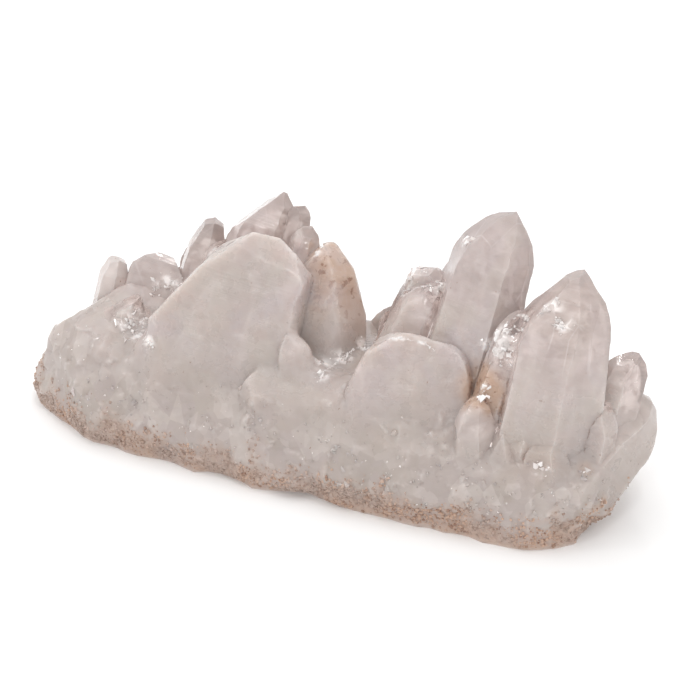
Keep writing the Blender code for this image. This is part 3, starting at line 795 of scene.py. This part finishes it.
def cloud_material(look):
    shader = Shader("inner_clouds")
    tone = shader.mix(shader.rise(shader.cloud(3.5, 5, 0.6, 0.8), 0.35, 0.65), look.rose, look.snow_and_painted_glint)
    brown = shader.math("MULTIPLY", shader.note("brown"), shader.rise(shader.cloud(5, 4, 0.6, 0.6, 8), 0.3, 0.6))
    tone = shader.mix(shader.math("MULTIPLY", brown, 0.6), tone, look.amber)
    # Painted light: the clouds glow by their own emission, standing in for light that has wandered into the crystal.
    shader.plain(Base_Color=tone, IOR=1.3, Emission_Color=tone, Emission_Strength=look.painted_glow)
    shader.plain(Roughness=shader.rise(shader.cloud(1.5, 3, 0.6), 0.3, 0.7, 0.5, 0.8))
    shader.plain(Normal=shader.bump(shader.cloud(1.1, 4, 0.65, 0.5, 3), 0.6, 0.7))
    return shader.material


def crust_material(look):
    shader = Shader("stained_crust")
    shade = shader.note("shade")
    iron = shader.rise(shader.cloud(11, 3, 0.5, 0.4, 64), 0.40, 0.62, 0.3, 1.0)
    tone = shader.mix(shade, look.rose, look.tan)
    rusty = shader.mix(shader.rise(shade, 0.45, 1.0), look.amber, look.rust)
    tone = shader.mix(shader.math("MULTIPLY", iron, 0.8), tone, rusty)
    shader.plain(Base_Color=tone, IOR=1.544, Specular_IOR_Level=0.4)
    shader.plain(Roughness=shader.rise(shader.cloud(0.8, 3, 0.6), 0.3, 0.7, 0.35, 0.75))
    shader.plain(Normal=shader.bump(shader.cloud(0.3, 3, 0.6, 0, 3), 0.08, 0.5))
    return shader.material


# ---------------------------------------------------------------- sizes and colours


def colour(name, about, value):
    return bpy.props.FloatVectorProperty(
        name=name, description=about, default=value, subtype="COLOR", size=3, min=0.0, max=1.0
    )


def length(name, about, value):
    return bpy.props.FloatProperty(name=name, description=about, default=value, unit="LENGTH", min=0.0, precision=5)


class QuartzShape(bpy.types.PropertyGroup):
    fineness: bpy.props.IntProperty(name="Fineness", description="Octree depth of the even mesh", default=8, min=5, max=9)
    lump_height: length("Lump height", "How far broad lumps stand out", 0.7 * MM)
    facet_height: length("Facet height", "How far crowded small faces stand out", 0.5 * MM)
    step_height: length("Step height", "Height of the growth steps on the prism faces", 0.14 * MM)
    crust_height: length("Crust height", "How far the stained crust reaches above the ground", 7.5 * MM)
    sugar_count: bpy.props.IntProperty(name="Sugar crystals", description="Small crystals on the lower part", default=600, min=1)
    sugar_width: length("Sugar width", "Width of the widest sugar crystals", 2.8 * MM)
    grain_count: bpy.props.IntProperty(name="Crust grains", description="Grains of the stained crust", default=8000, min=1)
    grain_width: length("Grain width", "Width of the widest crust grains", 1.05 * MM)


class QuartzColours(bpy.types.PropertyGroup):
    milk: colour("Milk", "Milky quartz", (0.505, 0.445, 0.41))
    lavender: colour("Lavender", "The coldest of the clear quartz", (0.505, 0.44, 0.432))
    rose: colour("Rose", "Warm drifts in the milk", (0.50, 0.41, 0.38))
    # White veils and fractures, and the painted light on ridges, in crevices and on lighter faces.
    veil_and_painted_light: colour("Veil", "White veils and fractures", (0.66, 0.595, 0.57))
    cream: colour("Cream", "Light sugary quartz", (0.405, 0.35, 0.315))
    tan: colour("Tan", "Darker sugary quartz", (0.40, 0.325, 0.28))
    amber: colour("Amber", "Orange brown iron stain", (0.55, 0.37, 0.27))
    rust: colour("Rust", "Dark rust specks", (0.27, 0.14, 0.09))
    ice: colour("Ice", "Clear quartz, which tints what is behind it", (0.84, 0.745, 0.725))
    depth: colour("Depth", "What white light turns to deep in clear quartz", (0.86, 0.74, 0.72))
    # The whitest of the inner clouds, and the painted glints and highlights on broken faces, rims and splinters.
    snow_and_painted_glint: colour("Snow", "The whitest of the inner clouds", (0.97, 0.92, 0.90))
    # Greyer depths inside the crystals, and the painted shade in grooves and on darker faces.
    shadow: colour("Shadow", "Greyer depths inside the crystals", (0.435, 0.37, 0.355))
    dirt: colour("Dirt", "What has settled in the crevices", (0.36, 0.27, 0.23))
    # Painted light: how strongly the inner clouds glow by their own emission.
    painted_glow: bpy.props.FloatProperty(
        name="Glow", description="How strongly the inner clouds pass on the light inside", default=0.5, min=0)


class QuartzStage(bpy.types.PropertyGroup):
    azimuth: bpy.props.FloatProperty(
        name="Azimuth", description="How far round the camera stands", default=math.radians(26), subtype="ANGLE")
    elevation: bpy.props.FloatProperty(
        name="Elevation", description="How high the camera stands", default=math.radians(30), subtype="ANGLE")
    distance: length("Distance", "From the camera to the middle of the cluster", 505.6 * MM)
    lens: bpy.props.FloatProperty(name="Lens", description="Focal length in millimetres", default=100.0, min=10)
    sky: bpy.props.FloatProperty(name="Room light", description="Strength of the light from all round", default=0.925, min=0)
    key: bpy.props.FloatProperty(name="Soft light", description="Power of the broad lamp above, in watts", default=0.8, min=0)
    glint: bpy.props.FloatProperty(name="Glint lights", description="Power of each small lamp, in watts", default=0.35, min=0)
    floor: colour("Floor", "The pale floor", (0.93, 0.93, 0.93))


# ---------------------------------------------------------------- operators


class QUARTZ_OT_skin(bpy.types.Operator):
    """Makes the cluster's worked skin, which stands for its plain solid"""

    bl_idname = "quartz.skin"
    bl_label = "Milky quartz"

    def execute(self, context):
        shape = context.scene.quartz_shape
        data = fine_copy(shape.fineness, 0.85)
        work_skin(data, shape)
        piece = new_piece("milky_quartz", data, skin_material(context.scene.quartz_colours))
        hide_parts(NODE)
        return {"FINISHED"}


def skin_of(context):
    piece = context.scene.objects.get("milky_quartz")
    if piece is None:
        raise RuntimeError("make the milky quartz first")
    return Skin(piece.data), piece.data


def face_mean(skin, data, name):
    values = np.empty(len(data.vertices), np.float32)
    data.attributes[name].data.foreach_get("value", values)
    return values[skin.corners].mean(1)


class QUARTZ_OT_sugar(bpy.types.Operator):
    """Sets small crystals over the lower part and in the hollows"""

    bl_idname = "quartz.sugar"
    bl_label = "Sugar crystals"

    def execute(self, context):
        shape = context.scene.quartz_shape
        skin, data = skin_of(context)
        chance = np.random.default_rng(21)
        height = skin.middles[:, 2]
        weights = face_mean(skin, data, "sugary") * smooth(5, 11, height) + 0.02 * (1 - face_mean(skin, data, "open"))
        weights *= 0.25 + smooth(-0.15, 0.25, cloud(skin.middles, 8.0, 2, 9))
        weights *= 0.2 + 0.8 * smooth(-64, -52, skin.middles[:, 0])
        spots, facing, _ = skin.spots(chance, shape.sugar_count, weights)
        shapes = []
        for spot, normal in zip(spots, facing):
            width = shape.sugar_width / MM * (0.28 + 0.72 * chance.random() ** 2.2)
            length = width * chance.uniform(0.8, 1.7)
            points, faces = quartz_point(chance, width, length)
            way = normal + chance.normal(0, 0.28, 3) + (0.05, 0, 0.15)
            sunk = length - width * chance.uniform(0.12, 0.3)
            stand = turned(way, chance.uniform(0, math.tau))
            points = (points - (0, 0, sunk)) @ stand.T + spot
            shapes.append((points, faces, {"shade": chance.random(), "tan": chance.random() ** 3}))
        made = joined_shapes("sugar_crystals", shapes)
        new_piece("sugar_crystals", made, sugar_material(context.scene.quartz_colours))
        return {"FINISHED"}


class QUARTZ_OT_sparks(bpy.types.Operator):
    """Sets white splinters where the crystals are broken, partly broken quartz and partly painted glints, along the
    rims as part of their painted highlight, and as painted glints low down
    """

    bl_idname = "quartz.sparks"
    bl_label = "Clear sparks"

    def execute(self, context):
        skin, data = skin_of(context)
        chance = np.random.default_rng(8)
        shapes = []
        for centre, radius, count in SPARKLES:
            gap = np.linalg.norm(skin.middles - centre, axis=1)
            spots, facing, _ = skin.spots(chance, int(count * 0.6), smooth(radius * 1.3, radius * 0.2, gap) + 1e-9)
            for spot, normal in zip(spots, facing):
                width = 0.6 + 2.4 * chance.random() ** 2.5
                points, faces = shard(chance, width)
                way = normal + chance.normal(0, 0.3, 3)
                points = (points - (0, 0, width * 0.28)) @ turned(way, chance.uniform(0, math.tau)).T + spot
                shapes.append((points, faces, {"shade": chance.random()}))
        # White specks here and there low down: painted glints.
        weights = face_mean(skin, data, "sugary") * smooth(2, 6, skin.middles[:, 2])
        spots, facing, _ = skin.spots(chance, GLINTS, weights)
        for spot, normal in zip(spots, facing):
            width = 0.35 + 0.5 * chance.random() ** 2
            points, faces = shard(chance, width)
            points = points @ turned(normal + chance.normal(0, 0.3, 3), chance.uniform(0, math.tau)).T
            shapes.append((points + spot - normal * width * 0.2, faces, {"shade": chance.random()}))
        # Splinters along the rims, part of their painted highlight.
        tree = BVHTree.FromPolygons(skin.points.tolist(), skin.corners.tolist())
        for rim in RIMS:
            for start, end in zip(rim[:-1], rim[1:]):
                way = Vector(end) - Vector(start)
                for _ in range(int(way.length * RIM_CHIPS)):
                    along_rim = Vector(start) + way * chance.random()
                    spot, normal, _, _ = tree.find_nearest(along_rim)
                    width = 0.4 + 0.8 * chance.random() ** 2
                    points, faces = shard(chance, width)
                    lie = np.array(normal) + chance.normal(0, 0.35, 3)
                    points = (points - (0, 0, width * 0.28)) @ turned(lie, chance.uniform(0, math.tau)).T
                    shapes.append((points + spot, faces, {"shade": chance.uniform(0.5, 1.0)}))
        made = joined_shapes("splinters_and_painted_glints", shapes)
        new_piece("splinters_and_painted_glints", made, spark_material(context.scene.quartz_colours))
        return {"FINISHED"}


CLOUD_RINGS = 22
CLOUD_SIDES = 26
CLOUD_MARGIN = 0.8


def cloud_shape(tree, chance, root, tip, width, clear):
    """A lumpy milky core: it fills the foot of a crystal, and narrows into wisps below its tip."""
    axis = Vector(tip) - Vector(root)
    reach = axis.length
    axis.normalize()
    side = axis.orthogonal().normalized()
    other = axis.cross(side)
    top = 1.0 - 0.3 * clear
    shift = Vector(chance.uniform(-50, 50, 3))
    points = [Vector(root)]
    for ring in range(CLOUD_RINGS):
        share = (ring + 0.5) / CLOUD_RINGS
        middle = Vector(root) + axis * reach * top * share
        full = 0.98 - 0.3 * clear * float(smooth(0.1, 0.6, share))
        full *= math.sqrt(max(1 - share ** 5, 0.0))
        for turn in range(CLOUD_SIDES):
            angle = math.tau * turn / CLOUD_SIDES
            way = side * math.cos(angle) + other * math.sin(angle)
            hit = tree.ray_cast(middle, way, width)
            free = hit[3] if hit[0] is not None else width / 2
            rough = 1 + 0.28 * noise.fractal((middle + way * width / 2) / 3.5 + shift, 0.8, 2.0, 3)
            radius = min(free, width * 0.6) * full * min(rough, 1.0 / full)
            radius = min(radius, free - CLOUD_MARGIN)
            # It stays clear of the skin all round, also where two crystals meet.
            while radius > 0.3 and tree.find_nearest(middle + way * radius, CLOUD_MARGIN)[0] is not None:
                radius *= 0.85
            points.append(middle + way * max(radius, 0.05))
    points.append(Vector(root) + axis * reach * top)
    faces = []
    last = len(points) - 1
    for turn in range(CLOUD_SIDES):
        after = (turn + 1) % CLOUD_SIDES
        faces.append((0, 1 + after, 1 + turn))
        for ring in range(CLOUD_RINGS - 1):
            low, high = 1 + ring * CLOUD_SIDES, 1 + (ring + 1) * CLOUD_SIDES
            faces.append((low + turn, low + after, high + after))
            faces.append((low + turn, high + after, high + turn))
        low = 1 + (CLOUD_RINGS - 1) * CLOUD_SIDES
        faces.append((low + turn, low + after, last))
    return np.array(points), np.array(faces)


class QUARTZ_OT_clouds(bpy.types.Operator):
    """Puts the milky cores inside the clear crystals"""

    bl_idname = "quartz.clouds"
    bl_label = "Inner clouds"

    def execute(self, context):
        skin, data = skin_of(context)
        tree = BVHTree.FromPolygons(skin.points.tolist(), skin.corners.tolist())
        chance = np.random.default_rng(55)
        shapes = []
        for root, tip, width, clear, brown in CRYSTALS.values():
            if clear >= 0.15:
                points, faces = cloud_shape(tree, chance, root, tip, width, clear)
                shapes.append((points, faces, {"brown": brown}))
        made = joined_shapes("inner_clouds", shapes)
        made.shade_smooth()
        new_piece("inner_clouds", made, cloud_material(context.scene.quartz_colours))
        return {"FINISHED"}


class QUARTZ_OT_crust(bpy.types.Operator):
    """Covers the foot with stained grains"""

    bl_idname = "quartz.crust"
    bl_label = "Crust grains"

    def execute(self, context):
        shape = context.scene.quartz_shape
        skin, data = skin_of(context)
        chance = np.random.default_rng(34)
        weights = face_mean(skin, data, "crust") * smooth(0.6, 1.6, skin.middles[:, 2])
        spots, facing, _ = skin.spots(chance, shape.grain_count, weights)
        base, faces = grain(chance, 1.0)
        shapes = []
        for spot, normal in zip(spots, facing):
            size = shape.grain_width / MM * (0.3 + 0.7 * chance.random() ** 2)
            lump = base * chance.uniform(0.7, 1.2, (len(base), 1)) * chance.uniform(0.7, 1.2, 3)
            points = lump @ turned(chance.normal(size=3), chance.uniform(0, math.tau)).T * size
            points += spot + normal * size * chance.uniform(-0.15, 0.2)
            points[:, 2] = np.maximum(points[:, 2], 0.05)
            shapes.append((points, faces, {"shade": chance.random()}))
        made = joined_shapes("crust_grains", shapes)
        new_piece("crust_grains", made, crust_material(context.scene.quartz_colours))
        return {"FINISHED"}


class QUARTZ_OT_stage(bpy.types.Operator):
    """Sets the pale floor, the soft light and the camera"""

    bl_idname = "quartz.stage"
    bl_label = "Stage"

    def execute(self, context):
        stage = context.scene.quartz_stage
        scene = context.scene
        mesh = bmesh.new()
        bmesh.ops.create_circle(mesh, cap_ends=True, segments=96, radius=3.0)
        data = bpy.data.meshes.new("floor")
        mesh.to_mesh(data)
        mesh.free()
        floor = bpy.data.objects.new("floor", data)
        scene.collection.objects.link(floor)
        shader = Shader("pale_floor")
        tone = shader.rise(shader.cloud(60, 2, 0.5), 0.3, 0.7)
        white = tuple(stage.floor)
        shader.plain(Base_Color=shader.mix(tone, white, [part * 0.99 for part in white]), Roughness=0.9)
        shader.plain(Specular_IOR_Level=0.0)
        data.materials.append(shader.material)
        world = bpy.data.worlds.new("soft room")
        scene.world = world
        world.use_nodes = True
        light = world.node_tree.nodes["Background"]
        light.inputs["Color"].default_value = (1.0, 1.0, 1.0, 1.0)
        # The room is a little darker towards the horizon than overhead.
        links, nodes = world.node_tree.links, world.node_tree.nodes
        way = nodes.new("ShaderNodeTexCoord")
        parts = nodes.new("ShaderNodeSeparateXYZ")
        links.new(way.outputs["Generated"], parts.inputs[0])
        ramp = nodes.new("ShaderNodeMapRange")
        links.new(parts.outputs["Z"], ramp.inputs["Value"])
        for key, value in (("From Min", 0.0), ("From Max", 0.6), ("To Min", 0.7), ("To Max", 1.04)):
            ramp.inputs[key].default_value = value * (stage.sky if key.startswith("To") else 1.0)
        links.new(ramp.outputs["Result"], light.inputs["Strength"])
        for name, spot, size, power in (
            ("broad_lamp", (-0.10, 0.10, 0.60), 0.6, stage.key),
            ("left_glint_lamp", (-0.45, -0.35, 0.45), 0.05, stage.glint),
            ("front_glint_lamp", (0.10, -0.60, 0.40), 0.05, stage.glint),
            ("right_glint_lamp", (0.55, -0.25, 0.35), 0.05, stage.glint),
            ("low_left_glint_lamp", (-0.60, -0.10, 0.20), 0.04, stage.glint * 0.6),
            ("high_glint_lamp", (0.20, -0.15, 0.70), 0.05, stage.glint),
            ("back_glint_lamp", (-0.20, 0.50, 0.40), 0.05, stage.glint),
        ):
            lamp = bpy.data.lights.new(name, "AREA")
            lamp.shape = "DISK"
            lamp.size = size
            lamp.energy = power
            holder = bpy.data.objects.new(name, lamp)
            holder.location = spot
            holder.rotation_euler = (-Vector(spot)).to_track_quat("-Z", "Y").to_euler()
            scene.collection.objects.link(holder)
        round_way, up_way = stage.azimuth, stage.elevation
        right = Vector((math.cos(round_way), math.sin(round_way), 0))
        back = Vector((math.sin(round_way) * math.cos(up_way), -math.cos(round_way) * math.cos(up_way), math.sin(up_way)))
        up = back.cross(right)
        camera = bpy.data.cameras.new("camera")
        camera.lens = stage.lens
        camera.sensor_width = 36.0
        camera.clip_start, camera.clip_end = 0.01, 20.0
        holder = bpy.data.objects.new("camera", camera)
        spot = right * 5.72 * MM + up * 23.7 * MM + back * stage.distance + Vector((-1.8, -0.15, 0)) * MM
        turn = Matrix((right, up, back)).transposed().to_4x4()
        holder.matrix_world = Matrix.Translation(spot) @ turn
        scene.collection.objects.link(holder)
        scene.camera = holder
        scene.view_settings.view_transform = "Standard"
        return {"FINISHED"}


OPERATORS = (QUARTZ_OT_skin, QUARTZ_OT_clouds, QUARTZ_OT_sugar, QUARTZ_OT_sparks, QUARTZ_OT_crust, QUARTZ_OT_stage)


class QUARTZ_PT_panel(bpy.types.Panel):
    """Lists the cluster's pieces and settings"""

    bl_label = "Quartz cluster"
    bl_idname = "QUARTZ_PT_panel"
    bl_space_type = "VIEW_3D"
    bl_region_type = "UI"
    bl_category = "Quartz"

    def draw(self, context):
        for group in ("quartz_shape", "quartz_colours", "quartz_stage"):
            box = self.layout.box()
            settings = getattr(context.scene, group)
            for key in settings.bl_rna.properties.keys():
                if key not in ("rna_type", "name"):
                    box.prop(settings, key)
        for operator in OPERATORS:
            self.layout.operator(operator.bl_idname)


GROUPS = {"quartz_shape": QuartzShape, "quartz_colours": QuartzColours, "quartz_stage": QuartzStage}
CLASSES = (*GROUPS.values(), *OPERATORS, QUARTZ_PT_panel)


def register():
    for item in CLASSES:
        bpy.utils.register_class(item)
    for name, group in GROUPS.items():
        setattr(bpy.types.Scene, name, bpy.props.PointerProperty(type=group))


def unregister():
    for name in GROUPS:
        delattr(bpy.types.Scene, name)
    for item in reversed(CLASSES):
        bpy.utils.unregister_class(item)


def main():
    register()
    for step in (bpy.ops.quartz.skin, bpy.ops.quartz.clouds, bpy.ops.quartz.sugar, bpy.ops.quartz.sparks,
                 bpy.ops.quartz.crust, bpy.ops.quartz.stage):
        step()


if __name__ == "__main__":
    main()
